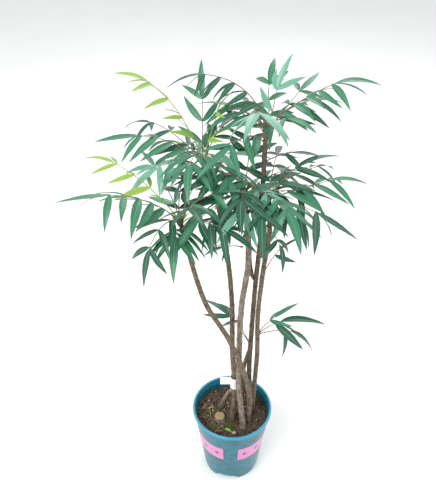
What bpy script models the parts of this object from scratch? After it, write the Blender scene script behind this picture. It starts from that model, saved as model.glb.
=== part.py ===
"""Potted Chinese mahonia: a teal nursery pot of soil, a clump of slender bare stems, and the
masses of pinnate foliage that they carry.

Metres, +Z up. The origin is the middle of the pot's flat underside, and -Y is the front.
"""

import math
from dataclasses import dataclass

import bmesh
import bpy
import numpy as np

GAP = 0.0003

# Pot: a tapered tub with a rolled rim, an inner ledge and four drain notches at its foot
POT_HEIGHT = 0.212
POT_BASE_RADIUS = 0.0705
POT_NECK_RADIUS = 0.0962
POT_RIM_RADIUS = 0.100
POT_WALL = 0.002
POT_FLOOR = 0.003
RIM_DEPTH = 0.009
LEDGE_BELOW_RIM = 0.0115
LEDGE_STEP = 0.0018
CORNER_RISE = 0.024
CORNER_RUN = 0.017
POT_SEGMENTS = 48
NOTCH_COUNT = 4
NOTCH_BEARING = -101.0
NOTCH_HEIGHT = 0.0145
NOTCH_FOOT_WIDTH = 0.062
NOTCH_TOP_WIDTH = 0.047
NOTCH_DEPTH = 0.0105
NOTCH_LEAN = 0.0055

# Soil: fills the pot to 30 mm under the rim
SOIL_TOP = 0.182
SOIL_MARGIN = 0.0006

# Crown hubs: where each stem enters its mass of foliage
HUB_LEFT = (-0.107, -0.060, 0.818)
HUB_UPPER_LEFT = (-0.065, 0.060, 0.882)
HUB_TOP = (0.055, 0.050, 0.955)
HUB_CENTRE = (0.015, 0.020, 0.835)
HUB_RIGHT = (0.062, 0.000, 0.835)

# Masses: a flat middle over the stem, and lobes that climb and arch over round it
HUB_RADIUS = 0.015
HUB_THICKNESS = 0.016
EDGE_THICKNESS = 0.006
MASS_COLUMNS = 36
MASS_RINGS = 5
VALLEY_LENGTH = 0.070
VALLEY_START = 48.0
VALLEY_END = 15.0
LOBE_SPREAD = 27.0
MOST_STRETCH = 2.2

STEM_SIDES = 8
FLARE_HEIGHT = 0.022
FLARE_SHARE = 0.35
STALK_CLEARANCE = 0.0003


@dataclass(frozen=True)
class Lobe:
    """One leafy arm of a mass: its bearing, its length, and its climb at the hub and at the tip."""

    bearing: float
    length: float
    start: float
    end: float


@dataclass(frozen=True)
class Stem:
    """One bare stem: its route from foot to tip, and its radius at both ends."""

    name: str
    route: tuple
    foot_radius: float
    tip_radius: float
    flares: bool
    colour: tuple


@dataclass(frozen=True)
class Frond:
    """One thin leafy pad on a stalk: its root, bearing, arc length, climb at both ends and width."""

    name: str
    root: tuple
    bearing: float
    length: float
    start: float
    end: float
    width: float
    stalk: float
    colour: tuple


BARK = (0.115, 0.075, 0.050, 1.0)
PALE_BARK = (0.300, 0.255, 0.210, 1.0)
LEAF_DARK = (0.012, 0.085, 0.045, 1.0)
LEAF_MID = (0.022, 0.130, 0.065, 1.0)
LEAF_YOUNG = (0.210, 0.400, 0.070, 1.0)
TEAL = (0.020, 0.215, 0.270, 1.0)
SOIL_BROWN = (0.080, 0.055, 0.035, 1.0)
LABEL_WHITE = (0.900, 0.930, 0.950, 1.0)


def clear_scene():
    """Empties the scene."""
    for obj in list(bpy.data.objects):
        bpy.data.objects.remove(obj, do_unlink=True)


def material(name, colour, roughness, metallic=0.0):
    """A plain Principled material."""
    made = bpy.data.materials.new(name)
    made.use_nodes = True
    shader = made.node_tree.nodes["Principled BSDF"]
    shader.inputs["Base Color"].default_value = colour
    shader.inputs["Roughness"].default_value = roughness
    shader.inputs["Metallic"].default_value = metallic
    made.diffuse_color = colour
    return made


def object_of(name, points, faces, finish, smooth=False):
    """An object holding one closed mesh with its faces turned outwards."""
    mesh = bpy.data.meshes.new(name)
    mesh.from_pydata([tuple(point) for point in points], [], faces)
    shape = bmesh.new()
    shape.from_mesh(mesh)
    bmesh.ops.recalc_face_normals(shape, faces=shape.faces)
    shape.to_mesh(mesh)
    shape.free()
    if smooth:
        mesh.shade_smooth()
        mesh.set_sharp_from_angle(angle=math.radians(40))
    mesh.materials.append(finish)
    obj = bpy.data.objects.new(name, mesh)
    bpy.context.scene.collection.objects.link(obj)
    return obj


def turned(name, profile, segments, finish):
    """A profile of (radius, height) points, from axis to axis, turned about Z."""
    points = []
    rings = []
    for radius, height in profile:
        if radius == 0.0:
            rings.append([len(points)])
            points.append((0.0, 0.0, height))
            continue
        rings.append(list(range(len(points), len(points) + segments)))
        for step in range(segments):
            angle = 2 * math.pi * step / segments
            points.append((radius * math.cos(angle), radius * math.sin(angle), height))
    faces = []
    for low, high in zip(rings, rings[1:]):
        for step in range(segments):
            after = (step + 1) % segments
            if len(low) == 1:
                faces.append((low[0], high[step], high[after]))
            elif len(high) == 1:
                faces.append((low[step], low[after], high[0]))
            else:
                faces.append((low[step], low[after], high[after], high[step]))
    return object_of(name, points, faces, finish, smooth=True)


def wall_radius(height):
    """The outer radius of the pot's plain wall at a height."""
    neck_height = POT_HEIGHT - RIM_DEPTH
    return POT_BASE_RADIUS + (POT_NECK_RADIUS - POT_BASE_RADIUS) * height / neck_height


def inner_profile():
    """The inside of the pot below its ledge, from the ledge down to the axis."""
    ledge = POT_HEIGHT - LEDGE_BELOW_RIM
    return [
        (wall_radius(ledge) - POT_WALL - LEDGE_STEP, ledge - LEDGE_STEP),
        (wall_radius(CORNER_RISE) - POT_WALL - LEDGE_STEP, CORNER_RISE),
        (POT_BASE_RADIUS - CORNER_RUN, POT_FLOOR),
        (0.0, POT_FLOOR),
    ]


def pot_profile():
    """The pot's section: underside, wall, rolled rim, inner ledge and floor."""
    neck = POT_HEIGHT - RIM_DEPTH
    ledge = POT_HEIGHT - LEDGE_BELOW_RIM
    roll = (POT_RIM_RADIUS - POT_NECK_RADIUS + POT_WALL) / 2
    centre = POT_RIM_RADIUS - roll
    profile = [
        (0.0, 0.0),
        (POT_BASE_RADIUS - 0.0015, 0.0),
        (wall_radius(0.0015), 0.0015),
        (wall_radius(neck), neck),
        (POT_RIM_RADIUS - 0.0006, neck + 0.0006),
        (POT_RIM_RADIUS, neck + 0.0016),
    ]
    for angle in range(0, 181, 36):
        turn = math.radians(angle)
        profile.append((centre + roll * math.cos(turn), POT_HEIGHT - roll + roll * math.sin(turn)))
    profile.append((wall_radius(ledge) - POT_WALL, ledge))
    return profile + inner_profile()


def notch_cutter(bearing):
    """The wedge that leaves one drain notch: narrower at its top, its back leaning inwards below."""
    back_low = POT_BASE_RADIUS - NOTCH_DEPTH
    back_high = back_low + NOTCH_LEAN
    front = POT_BASE_RADIUS + 0.020
    below = -0.002
    slope = (NOTCH_FOOT_WIDTH - NOTCH_TOP_WIDTH) / NOTCH_HEIGHT
    low_half = (NOTCH_FOOT_WIDTH - slope * below) / 2
    high_half = NOTCH_TOP_WIDTH / 2
    corners = [
        (back_low, -low_half, below),
        (back_low, low_half, below),
        (front, low_half, below),
        (front, -low_half, below),
        (back_high, -high_half, NOTCH_HEIGHT),
        (back_high, high_half, NOTCH_HEIGHT),
        (front, high_half, NOTCH_HEIGHT),
        (front, -high_half, NOTCH_HEIGHT),
    ]
    faces = [(0, 1, 2, 3), (7, 6, 5, 4), (0, 4, 5, 1), (1, 5, 6, 2), (2, 6, 7, 3), (3, 7, 4, 0)]
    cutter = object_of(f"notch_cutter_{bearing:.0f}", corners, faces, material("cutter", TEAL, 0.5))
    cutter.rotation_euler[2] = math.radians(bearing)
    cutter.hide_render = True
    cutter.display_type = "WIRE"
    return cutter


def build_pot():
    """The pot, with its notches cut from the thick corner at its foot."""
    pot = turned("pot", pot_profile(), POT_SEGMENTS, material("teal_plastic", TEAL, 0.35))
    for number in range(NOTCH_COUNT):
        cutter = notch_cutter(NOTCH_BEARING + 360 * number / NOTCH_COUNT)
        cut = pot.modifiers.new(f"notch_{number + 1}", "BOOLEAN")
        cut.operation = "DIFFERENCE"
        cut.solver = "EXACT"
        cut.object = cutter


def build_soil():
    """The potting soil, one plug that stops just short of the pot's inside."""
    _, corner, floor, _ = inner_profile()
    share = (SOIL_TOP - corner[1]) / (POT_HEIGHT - LEDGE_BELOW_RIM - LEDGE_STEP - corner[1])
    top_radius = corner[0] + (inner_profile()[0][0] - corner[0]) * share
    profile = [
        (0.0, floor[1] + GAP),
        (floor[0] - SOIL_MARGIN, floor[1] + GAP),
        (corner[0] - SOIL_MARGIN, corner[1]),
        (top_radius - SOIL_MARGIN, SOIL_TOP),
        (0.0, SOIL_TOP),
    ]
    turned("soil", profile, POT_SEGMENTS, material("potting_soil", SOIL_BROWN, 0.95))


def centre_line(route, height):
    """The middle of a stem at a height, on a smooth curve through the points of its route."""
    heights = [point[2] for point in route]
    at = min(max(height, heights[0]), heights[-1])
    slopes = []
    for index in range(len(route)):
        before = route[max(index - 1, 0)]
        after = route[min(index + 1, len(route) - 1)]
        rise = after[2] - before[2]
        slopes.append(((after[0] - before[0]) / rise, (after[1] - before[1]) / rise))
    span = max(index for index in range(len(route) - 1) if heights[index] <= at)
    rise = heights[span + 1] - heights[span]
    s = (at - heights[span]) / rise
    place = []
    for axis in (0, 1):
        place.append(
            (2 * s**3 - 3 * s**2 + 1) * route[span][axis]
            + (s**3 - 2 * s**2 + s) * rise * slopes[span][axis]
            + (3 * s**2 - 2 * s**3) * route[span + 1][axis]
            + (s**3 - s**2) * rise * slopes[span + 1][axis]
        )
    return place[0], place[1]


def stem_radius(stem, height):
    """The radius of a stem at a height: an even taper, with a small flare at the soil."""
    low = stem.route[0][2]
    high = stem.route[-1][2]
    share = (height - low) / (high - low)
    radius = stem.foot_radius + (stem.tip_radius - stem.foot_radius) * share
    if stem.flares:
        radius *= 1 + FLARE_SHARE * math.exp(-(height - low) / FLARE_HEIGHT)
    return radius


def build_stem(stem):
    """A tapering limb of level rings, with a flat cut at each end."""
    low = stem.route[0][2]
    high = stem.route[-1][2]
    levels = max(4, round((high - low) / 0.045))
    points = []
    rings = []
    for level in range(levels + 1):
        height = low + (high - low) * level / levels
        x, y = centre_line(stem.route, height)
        radius = stem_radius(stem, height)
        rings.append(list(range(len(points), len(points) + STEM_SIDES)))
        for side in range(STEM_SIDES):
            angle = 2 * math.pi * side / STEM_SIDES
            points.append((x + radius * math.cos(angle), y + radius * math.sin(angle), height))
    faces = [tuple(rings[0]), tuple(rings[-1])]
    for below, above in zip(rings, rings[1:]):
        for side in range(STEM_SIDES):
            after = (side + 1) % STEM_SIDES
            faces.append((below[side], below[after], above[after], above[side]))
    object_of(stem.name, points, faces, material(f"bark_{stem.name}", stem.colour, 0.85), smooth=True)


def arc(length, start, end, steps):
    """(reach, rise) pairs along a limb whose climb, in degrees, changes evenly from start to end."""
    reach = 0.0
    rise = 0.0
    pairs = [(reach, rise)]
    for step in range(steps):
        climb = math.radians(start + (end - start) * (step + 0.5) / steps)
        reach += length / steps * math.cos(climb)
        rise += length / steps * math.sin(climb)
        pairs.append((reach, rise))
    return pairs


def blended(lobes, bearing):
    """The length and climbs of a mass at a bearing: its lobes, with shallow valleys between them."""
    total = 0.0
    length = VALLEY_LENGTH
    start = VALLEY_START * 0.15
    end = VALLEY_END * 0.15
    for lobe in lobes:
        away = abs((bearing - lobe.bearing + 180) % 360 - 180)
        if away >= LOBE_SPREAD:
            continue
        weight = math.cos(math.pi / 2 * away / LOBE_SPREAD) ** 1.5
        length = max(length, VALLEY_LENGTH + (lobe.length - VALLEY_LENGTH) * weight)
        start += weight * lobe.start
        end += weight * lobe.end
        total += weight
    return length, start / (total + 0.15), end / (total + 0.15)


def clear_reach(hub, bearing, seams, trunks):
    """How far a mass may reach at a bearing before a seam with its neighbour, or a passing stem."""
    along = (math.cos(math.radians(bearing)), math.sin(math.radians(bearing)))
    most = 9.0
    for neighbour, share in seams:
        apart = (neighbour[0] - hub[0], neighbour[1] - hub[1])
        distance = math.hypot(*apart)
        towards = (along[0] * apart[0] + along[1] * apart[1]) / distance
        if towards > 0:
            most = min(most, (distance * share - 2 * GAP) / towards)
    for x, y, clearance in trunks:
        away = (x - hub[0], y - hub[1])
        ahead = along[0] * away[0] + along[1] * away[1]
        aside = abs(along[0] * away[1] - along[1] * away[0])
        if ahead > 0 and aside < clearance:
            most = min(most, ahead - math.sqrt(clearance**2 - aside**2))
    return most


def held_back(length, start, end, most):
    """The length and end climb that keep an arc within a reach."""
    while length > 0.004 and arc(length, start, end, MASS_RINGS)[-1][0] > most:
        end += (start - end) * 0.02
        length *= 0.98
    return length, end


def build_mass(name, hub, lobes, seams, trunks, colour):
    """A mass of foliage: columns that leave the hub at every bearing, thick inside and thin at the rim."""
    points = [(hub[0], hub[1], hub[2]), (hub[0], hub[1], hub[2] + HUB_THICKNESS)]
    under = []
    over = []
    for column in range(MASS_COLUMNS):
        bearing = 360 * column / MASS_COLUMNS
        most = clear_reach(hub, bearing, seams, trunks) - HUB_RADIUS
        length, start, end = blended(lobes, bearing)
        length, end = held_back(length, start, end, most)
        along = (math.cos(math.radians(bearing)), math.sin(math.radians(bearing)))
        low = []
        high = []
        for ring, (reach, rise) in enumerate(arc(length, start, end, MASS_RINGS)):
            share = ring / MASS_RINGS
            climb = math.radians(start + (end - start) * share)
            stretch = min(MOST_STRETCH, 1 / math.cos(climb)) if ring else 1.0
            thickness = HUB_THICKNESS + (EDGE_THICKNESS - HUB_THICKNESS) * share**1.5
            ripple = 0.0025 * math.sin(math.radians(3 * bearing) + 5 * share + 10 * hub[0]) * share
            x = hub[0] + along[0] * (HUB_RADIUS + reach)
            y = hub[1] + along[1] * (HUB_RADIUS + reach)
            low.append(len(points))
            points.append((x, y, hub[2] + rise + ripple))
            high.append(len(points))
            points.append((x, y, hub[2] + rise + ripple + thickness * stretch))
        under.append(low)
        over.append(high)
    faces = []
    for column in range(MASS_COLUMNS):
        after = (column + 1) % MASS_COLUMNS
        faces.append((0, under[column][0], under[after][0]))
        faces.append((1, over[after][0], over[column][0]))
        for ring in range(MASS_RINGS):
            for side in (under, over):
                corners = (side[column][ring], side[column][ring + 1], side[after][ring + 1], side[after][ring])
                faces.append(corners[:3])
                faces.append((corners[0], corners[2], corners[3]))
        last = (under[column][-1], over[column][-1], over[after][-1], under[after][-1])
        faces.append(last[:3])
        faces.append((last[0], last[2], last[3]))
    object_of(name, points, faces, material(f"foliage_{name}", colour, 0.6), smooth=True)


def half_width(frond, share):
    """The half width of a frond along its length: a narrow stalk, then a leafy blade with a blunt tip."""
    narrow = 0.004
    if share <= frond.stalk:
        return narrow
    blade = (share - frond.stalk) / (1 - frond.stalk)
    return narrow + (frond.width / 2 - narrow) * math.sin(math.pi * min(0.93, 0.12 + 0.83 * blade)) ** 0.8


def build_frond(frond):
    """A thin arched pad of foliage on a narrow stalk, its sides hanging a little."""
    steps = 7
    across = (-1.0, -0.5, 0.0, 0.5, 1.0)
    along = (math.cos(math.radians(frond.bearing)), math.sin(math.radians(frond.bearing)))
    points = []
    under = []
    over = []
    for step, (reach, rise) in enumerate(arc(frond.length, frond.start, frond.end, steps)):
        share = step / steps
        climb = math.radians(frond.start + (frond.end - frond.start) * share)
        stretch = min(MOST_STRETCH, 1 / max(0.3, math.cos(climb)))
        half = half_width(frond, share)
        low = []
        high = []
        for aside in across:
            x = frond.root[0] + along[0] * reach - along[1] * half * aside
            y = frond.root[1] + along[1] * reach + along[0] * half * aside
            z = frond.root[2] + rise - 0.22 * half * aside**2 * min(1.0, 3 * share)
            thickness = (0.010 - 0.005 * aside**2) * stretch
            low.append(len(points))
            points.append((x, y, z))
            high.append(len(points))
            points.append((x, y, z + thickness))
        under.append(low)
        over.append(high)
    faces = []
    last = len(across) - 1
    for step in range(steps):
        for lane in range(last):
            for side in (under, over):
                corners = (side[step][lane], side[step][lane + 1], side[step + 1][lane + 1], side[step + 1][lane])
                faces.append(corners[:3])
                faces.append((corners[0], corners[2], corners[3]))
        for lane in (0, last):
            faces.append((under[step][lane], over[step][lane], over[step + 1][lane]))
            faces.append((under[step][lane], over[step + 1][lane], under[step + 1][lane]))
    for step in (0, steps):
        for lane in range(last):
            faces.append((under[step][lane], over[step][lane], over[step][lane + 1]))
            faces.append((under[step][lane], over[step][lane + 1], under[step][lane + 1]))
    object_of(frond.name, points, faces, material(f"foliage_{frond.name}", frond.colour, 0.6), smooth=True)


STEMS = (
    Stem(
        "stem_left_lower",
        (
            (0.040, -0.026, SOIL_TOP + GAP),
            (0.040, -0.032, 0.290),
            (0.018, -0.038, 0.400),
            (-0.016, -0.043, 0.500),
            (-0.058, -0.048, 0.592),
        ),
        0.0075,
        0.0055,
        True,
        BARK,
    ),
    Stem(
        "stem_left_upper",
        (
            (-0.058, -0.048, 0.592 + GAP),
            (-0.079, -0.052, 0.670),
            (-0.097, -0.057, 0.765),
            (HUB_LEFT[0], HUB_LEFT[1], HUB_LEFT[2] - GAP),
        ),
        0.0055,
        0.0045,
        False,
        BARK,
    ),
    Stem(
        "stem_upper_left",
        (
            (0.000, -0.019, SOIL_TOP + GAP),
            (0.005, -0.008, 0.290),
            (-0.002, 0.007, 0.410),
            (-0.005, 0.022, 0.550),
            (-0.019, 0.038, 0.690),
            (-0.044, 0.052, 0.820),
            (HUB_UPPER_LEFT[0], HUB_UPPER_LEFT[1], HUB_UPPER_LEFT[2] - GAP),
        ),
        0.0070,
        0.0045,
        True,
        BARK,
    ),
    Stem(
        "stem_centre",
        (
            (0.028, -0.044, SOIL_TOP + GAP),
            (0.015, -0.031, 0.310),
            (0.013, -0.019, 0.440),
            (0.016, -0.007, 0.560),
            (0.028, 0.004, 0.680),
            (HUB_CENTRE[0], HUB_CENTRE[1], HUB_CENTRE[2] - GAP),
        ),
        0.0070,
        0.0065,
        True,
        PALE_BARK,
    ),
    Stem(
        "stem_tall",
        (
            (0.047, 0.030, SOIL_TOP + GAP),
            (0.041, 0.026, 0.330),
            (0.043, 0.027, 0.450),
            (0.047, 0.032, 0.580),
            (0.054, 0.039, 0.720),
            (0.054, 0.046, 0.860),
            (HUB_TOP[0], HUB_TOP[1], HUB_TOP[2] - GAP),
        ),
        0.0062,
        0.0048,
        True,
        BARK,
    ),
    Stem(
        "stem_tall_leg",
        (
            (0.022, 0.014, SOIL_TOP + GAP),
            (0.023, 0.018, 0.260),
            (0.030, 0.023, 0.345),
        ),
        0.0052,
        0.0040,
        True,
        BARK,
    ),
    Stem(
        "stem_tall_fork",
        (
            (0.0386, 0.034, 0.612),
            (0.0330, 0.036, 0.650),
            (0.0300, 0.037, 0.690),
        ),
        0.0042,
        0.0045,
        False,
        BARK,
    ),
    Stem(
        "stem_right",
        (
            (0.052, 0.009, SOIL_TOP + GAP),
            (0.055, 0.007, 0.300),
            (0.057, 0.006, 0.400),
            (0.054, 0.005, 0.520),
            (0.060, 0.003, 0.650),
            (0.068, 0.001, 0.750),
            (HUB_RIGHT[0], HUB_RIGHT[1], HUB_RIGHT[2] - GAP),
        ),
        0.0055,
        0.0050,
        True,
        BARK,
    ),
    Stem(
        "stem_short_leg",
        (
            (-0.029, 0.024, SOIL_TOP + GAP),
            (-0.020, 0.010, 0.225),
            (-0.007, -0.004, 0.272),
        ),
        0.0060,
        0.0045,
        True,
        PALE_BARK,
    ),
    Stem(
        "cut_stump",
        (
            (-0.032, -0.019, SOIL_TOP + GAP),
            (-0.032, -0.019, 0.189),
            (-0.031, -0.019, 0.195),
        ),
        0.0150,
        0.0125,
        False,
        PALE_BARK,
    ),
)

LEFT_LOBES = (
    Lobe(-158, 0.225, 55, -12),
    Lobe(120, 0.150, 56, 10),
    Lobe(168, 0.205, 56, -5),
    Lobe(-122, 0.140, 42, -62),
    Lobe(-70, 0.140, 64, 20),
    Lobe(15, 0.145, 66, 10),
)
UPPER_LEFT_LOBES = (
    Lobe(182, 0.205, 38, -12),
    Lobe(138, 0.175, 34, -15),
    Lobe(98, 0.150, 68, 45),
    Lobe(55, 0.140, 55, 15),
    Lobe(-10, 0.110, 70, 60),
)
TOP_LOBES = (
    Lobe(68, 0.125, 60, 58),
    Lobe(30, 0.165, 50, 0),
    Lobe(-12, 0.225, 56, -12),
    Lobe(-60, 0.120, 50, 0),
    Lobe(-105, 0.190, 55, -30),
    Lobe(115, 0.185, 30, -15),
    Lobe(165, 0.120, 35, 0),
)
CENTRE_LOBES = (
    Lobe(80, 0.190, 56, 5),
    Lobe(130, 0.180, 38, -10),
    Lobe(-95, 0.160, 40, -25),
    Lobe(-135, 0.175, 28, -30),
    Lobe(180, 0.110, 40, 0),
)
RIGHT_LOBES = (
    Lobe(46, 0.175, 16, -15),
    Lobe(9, 0.185, 16, 2),
    Lobe(-30, 0.165, 32, -48),
    Lobe(-75, 0.155, 38, -28),
    Lobe(78, 0.150, 38, -5),
)


def on_stem(name, height, bearing, extra=0.0):
    """A point just off the side of a stem at a height and a bearing."""
    stem = next(stem for stem in STEMS if stem.name == name)
    x, y = centre_line(stem.route, height)
    away = stem_radius(stem, height) + STALK_CLEARANCE + extra
    return (x + away * math.cos(math.radians(bearing)), y + away * math.sin(math.radians(bearing)), height)


def over_hub(hub, lift=GAP):
    """A point just above the flat middle of a mass."""
    return (hub[0], hub[1], hub[2] + HUB_THICKNESS + lift)


def build_masses():
    """The five masses of foliage, cut back along the seams between them and round the tall stem."""
    tall = (0.054, 0.045, 0.012)
    build_mass(
        "mass_left",
        HUB_LEFT,
        LEFT_LOBES,
        ((HUB_UPPER_LEFT, 0.5), (HUB_CENTRE, 0.5)),
        (),
        LEAF_MID,
    )
    build_mass(
        "mass_upper_left",
        HUB_UPPER_LEFT,
        UPPER_LEFT_LOBES,
        ((HUB_LEFT, 0.5), (HUB_CENTRE, 0.5), (HUB_TOP, 0.5)),
        (),
        LEAF_DARK,
    )
    build_mass("mass_top", HUB_TOP, TOP_LOBES, ((HUB_UPPER_LEFT, 0.5),), (), LEAF_MID)
    build_mass(
        "mass_centre",
        HUB_CENTRE,
        CENTRE_LOBES,
        ((HUB_LEFT, 0.5), (HUB_UPPER_LEFT, 0.5), (HUB_RIGHT, 0.5)),
        (tall,),
        LEAF_DARK,
    )
    build_mass("mass_right", HUB_RIGHT, RIGHT_LOBES, ((HUB_CENTRE, 0.5),), (tall,), LEAF_DARK)


def fronds():
    """The lone fronds: two arch over the crown, the others leave the stems below it."""
    return (
        Frond("frond_arch_left", over_hub(HUB_UPPER_LEFT), 178, 0.255, 80, 8, 0.090, 0.30, LEAF_YOUNG),
        Frond("frond_arch_top", over_hub(HUB_TOP), -158, 0.235, 74, -42, 0.070, 0.25, LEAF_MID),
        Frond("frond_low_left", on_stem("stem_centre", 0.790, -150, 0.0005), -150, 0.112, 15, -45, 0.090, 0.15, LEAF_DARK),
        Frond("frond_low_front", on_stem("stem_right", 0.768, -60), -60, 0.105, 5, -75, 0.065, 0.20, LEAF_DARK),
        Frond("frond_low_right", on_stem("stem_right", 0.795, 0, 0.0003), 0, 0.120, 8, -45, 0.080, 0.15, LEAF_DARK),
        Frond("frond_tall_right", on_stem("stem_tall", 0.880, -20), -20, 0.110, 40, 15, 0.070, 0.15, LEAF_DARK),
        Frond("spray_right", on_stem("stem_right", 0.455, -3, 0.0004), -3, 0.215, 55, -80, 0.100, 0.25, LEAF_MID),
        Frond("spray_right_small", on_stem("stem_right", 0.508, 12, 0.0004), 12, 0.110, 42, 20, 0.070, 0.25, LEAF_MID),
        Frond("spray_left", on_stem("stem_tall", 0.400, 150), 150, 0.200, 62, 18, 0.090, 0.45, LEAF_MID),
        Frond("spray_twig_right", on_stem("stem_right", 0.630, -8, 0.0009), -8, 0.085, 48, -10, 0.055, 0.35, LEAF_MID),
        Frond("spray_middle", on_stem("stem_centre", 0.700, -165, 0.0003), -165, 0.075, 25, -10, 0.040, 0.15, LEAF_MID),
    )


def build_label():
    """The blank plastic label folded round the upper left stem, with a free wing to its left."""
    bottom = 0.291
    top = 0.327
    sheet = 0.0007
    stem = next(stem for stem in STEMS if stem.name == "stem_upper_left")
    x, y = centre_line(stem.route, (bottom + top) / 2)
    inner = stem_radius(stem, bottom) + 0.0030
    outer = inner + sheet
    segments = 24
    finish = material("white_label", LABEL_WHITE, 0.3)
    points = []
    loops = []
    for radius, height in ((inner, bottom), (outer, bottom), (outer, top), (inner, top)):
        loops.append(list(range(len(points), len(points) + segments)))
        for step in range(segments):
            angle = 2 * math.pi * step / segments
            points.append((x + radius * math.cos(angle), y + radius * math.sin(angle), height))
    faces = []
    for low, high in zip(loops, loops[1:] + loops[:1]):
        for step in range(segments):
            after = (step + 1) % segments
            faces.append((low[step], low[after], high[after], high[step]))
    label = object_of("stem_label", points, faces, finish, smooth=True)
    wing_span = (x - outer - 0.025, x - inner - sheet / 2)
    wing = bmesh.new()
    bmesh.ops.create_cube(wing, size=1.0)
    size = np.array([wing_span[1] - wing_span[0], sheet, 0.026])
    middle = np.array([sum(wing_span) / 2, y, top - 0.015])
    for vertex in wing.verts:
        vertex.co = middle + size * np.array(vertex.co)
    mesh = bpy.data.meshes.new("label_wing")
    wing.to_mesh(mesh)
    wing.free()
    helper = bpy.data.objects.new("label_wing", mesh)
    bpy.context.scene.collection.objects.link(helper)
    helper.hide_render = True
    helper.display_type = "WIRE"
    join = label.modifiers.new("wing", "BOOLEAN")
    join.operation = "UNION"
    join.solver = "EXACT"
    join.object = helper


def main():
    """Builds the pot, the soil, the stems and the foliage."""
    clear_scene()
    build_pot()
    build_soil()
    for stem in STEMS:
        build_stem(stem)
    build_label()
    build_masses()
    for frond in fronds():
        build_frond(frond)


main()
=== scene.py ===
"""Looks of the potted Chinese mahonia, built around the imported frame.

Metres, +Z up, -Y the front. The camera stands as high as the person who looks down on the pot.
"""

import logging
import math
import random
from dataclasses import dataclass, field
from enum import Enum

import bmesh
import bpy
import numpy as np
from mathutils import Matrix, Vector, noise

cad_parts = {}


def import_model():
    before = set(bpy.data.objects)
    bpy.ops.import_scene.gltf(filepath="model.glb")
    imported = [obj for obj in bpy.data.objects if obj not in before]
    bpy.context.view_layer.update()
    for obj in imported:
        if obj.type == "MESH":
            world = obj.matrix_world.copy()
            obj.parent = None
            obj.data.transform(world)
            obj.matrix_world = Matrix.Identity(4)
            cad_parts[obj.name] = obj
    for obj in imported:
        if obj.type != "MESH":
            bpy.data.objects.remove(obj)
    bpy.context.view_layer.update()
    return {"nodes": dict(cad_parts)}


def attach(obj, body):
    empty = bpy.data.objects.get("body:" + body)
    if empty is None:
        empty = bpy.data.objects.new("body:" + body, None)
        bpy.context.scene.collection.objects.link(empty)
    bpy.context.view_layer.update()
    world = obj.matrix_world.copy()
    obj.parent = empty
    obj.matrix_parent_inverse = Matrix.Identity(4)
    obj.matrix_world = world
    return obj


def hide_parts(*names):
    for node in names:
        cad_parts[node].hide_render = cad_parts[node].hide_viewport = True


Tree = bpy.types.NodeTree
Socket = bpy.types.NodeSocket
Material = bpy.types.Material

LOG = logging.getLogger("mahonia")

CAMERA_EYE = (-0.036, -0.990, 1.452)
CAMERA_PITCH_DOWN = 36.0
CAMERA_LENS_MM = 45.0

HUB_LEFT = (-0.107, -0.060, 0.818)
HUB_UPPER_LEFT = (-0.065, 0.060, 0.882)
HUB_TOP = (0.055, 0.050, 0.955)
HUB_CENTRE = (0.015, 0.020, 0.835)
HUB_RIGHT = (0.062, 0.000, 0.835)
SOIL_TOP = 0.182

TINY = 1e-12
# The corner order that turns a quad over and keeps its first corner
TURNED = [0, 3, 2, 1]


class Tone(Enum):
    """The leaf colours, from old foliage to the newest."""

    DARK = 0
    MID = 1
    AQUA = 2
    YOUNG = 3


class Side(Enum):
    """The parts of a leaflet that differ in colour, counted after the tones."""

    UNDER = 4
    MIDRIB = 5
    UNDER_YOUNG = 6


def linear(code: str) -> tuple[float, float, float, float]:
    """Turns an sRGB hex code into linear colour.

    Args:
        code: six hex digits.

    Returns:
        Red, green, blue and an alpha of one.
    """
    parts = [int(code[start : start + 2], 16) / 255 for start in (0, 2, 4)]
    made = [part / 12.92 if part <= 0.04045 else ((part + 0.055) / 1.055) ** 2.4 for part in parts]
    return (made[0], made[1], made[2], 1.0)


def add_node(
    tree: Tree, kind: str, settings: dict | None = None, links: dict | None = None
) -> bpy.types.Node:
    """Adds a shader node.

    Args:
        tree: the node tree.
        kind: the node's type name.
        settings: attributes, or input values by socket name or number.
        links: output sockets to join to inputs, by socket name or number.

    Returns:
        The new node.
    """
    node = tree.nodes.new(kind)
    for key, value in (settings or {}).items():
        if isinstance(key, str) and hasattr(node, key):
            setattr(node, key, value)
        else:
            node.inputs[key].default_value = value
    for key, source in (links or {}).items():
        tree.links.new(source, node.inputs[key])
    return node


def reckon(tree: Tree, operation: str, *terms: Socket | float) -> Socket:
    """Adds one step of arithmetic.

    Args:
        tree: the node tree.
        operation: the Math node's operation.
        terms: its inputs in order, each a socket or a number.

    Returns:
        The result's socket.
    """
    settings = {"operation": operation}
    settings.update({place: term for place, term in enumerate(terms) if isinstance(term, float)})
    links = {place: term for place, term in enumerate(terms) if not isinstance(term, float)}
    return add_node(tree, "ShaderNodeMath", settings, links).outputs[0]


def two_tone(tree: Tree, source: Socket, low: str, high: str, low_at: float, high_at: float) -> Socket:
    """Turns noise into a blend of two colours.

    Args:
        tree: the node tree.
        source: the noise's socket.
        low: hex colour where the noise is low.
        high: hex colour where it is high.
        low_at: the noise up to which the low colour is pure.
        high_at: the noise from which the high colour is pure.

    Returns:
        The colour's socket.
    """
    ramp = add_node(tree, "ShaderNodeValToRGB", links={0: source})
    for element, code, position in zip(ramp.color_ramp.elements, (low, high), (low_at, high_at)):
        element.color = linear(code)
        element.position = position
    return ramp.outputs[0]


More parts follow.
